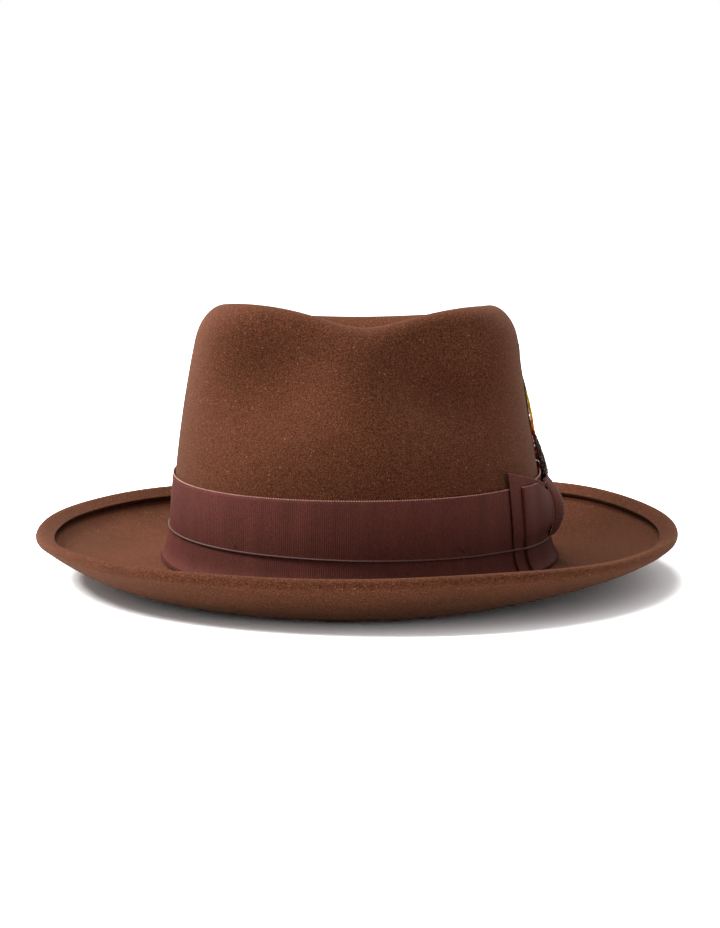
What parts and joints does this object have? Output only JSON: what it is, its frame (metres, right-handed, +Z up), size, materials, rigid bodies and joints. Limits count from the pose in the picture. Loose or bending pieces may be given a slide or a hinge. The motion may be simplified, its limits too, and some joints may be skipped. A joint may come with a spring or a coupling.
{
  "type": "fedora hat",
  "caption": "Wool-felt fedora: teardrop crown with front pinches, upturned welted brim, grosgrain band with flat bow, and a small feather spray that slides out.",
  "frame": {"origin": "centre of the head opening, level with the break between crown and brim at the sides of the head", "axes": "+Z up out of the crown, front of the hat towards -Y, the wearer's left towards +X, where the bow and the feathers are"},
  "size_m": [0.291, 0.326, 0.1259],
  "materials": {
    "felt": "matt brushed wool felt",
    "grosgrain": "ribbed, low sheen",
    "cord": "braided, low sheen",
    "thread": "waxed thread",
    "leather": "smooth, satin",
    "satin": "satin weave",
    "clear_film": "clear gloss",
    "label": "matt woven ticket",
    "feather_dark": "iridescent dark feather",
    "feather_golden": "yellow to orange feather",
    "feather_red": "red hackle",
    "feather_speckled": "speckled down"
  },
  "bodies": {
    "hat": {"felt_body": "felt", "ribbon_band": "grosgrain", "bow_tab_front": "grosgrain", "bow_loop_front": "grosgrain", "bow_loop_rear": "grosgrain", "bow_tail": "grosgrain", "bow_knot": "grosgrain", "wind_cord": "cord", "wind_cord_knot": "cord", "tack_front_left": "thread", "tack_front_right": "thread", "tack_rear_left": "thread", "tack_rear_right": "thread", "sweatband": "leather", "sweatband_reed": "leather", "sweatband_seam": "leather", "sweatband_bow": "grosgrain", "lining_sides": "satin", "lining_tip": "satin", "tip_shield": "clear_film", "size_label": "label"},
    "feather_spray": {"quill_binding": "thread", "feather_dark": "feather_dark", "feather_golden": "feather_golden", "feather_red": "feather_red", "feather_speckled": "feather_speckled"}
  },
  "joints": [
    {"name": "feather_slide", "type": "slide", "parent": "hat", "child": "feather_spray", "axis": [-0.0599, 0, 0.9982], "range_m": [0, 0.024]}
  ]
}
